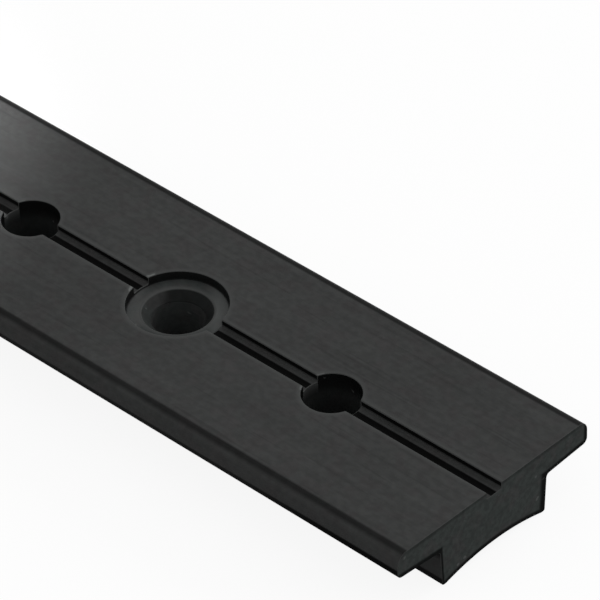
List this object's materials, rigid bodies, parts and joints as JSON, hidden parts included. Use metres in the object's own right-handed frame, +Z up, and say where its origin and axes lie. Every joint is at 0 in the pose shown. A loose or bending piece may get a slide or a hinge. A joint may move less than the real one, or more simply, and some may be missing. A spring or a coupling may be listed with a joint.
{
  "type": "sail track section",
  "caption": "Straight length of black-anodised aluminium T-section sail track, with seated screw holes and plain stop-pin holes along its grooved top.",
  "frame": {"origin": "middle of the underside, at the level of the foot's toes", "axes": "+X along the track, +Y across it, +Z up out of the top face"},
  "size_m": [0.6, 0.032, 0.009],
  "materials": {
    "anodised_aluminium": "satin black anodising over an extruded surface, with fine lines along the length"
  },
  "bodies": {
    "root": {"track_section": "anodised_aluminium"}
  },
  "joints": []
}
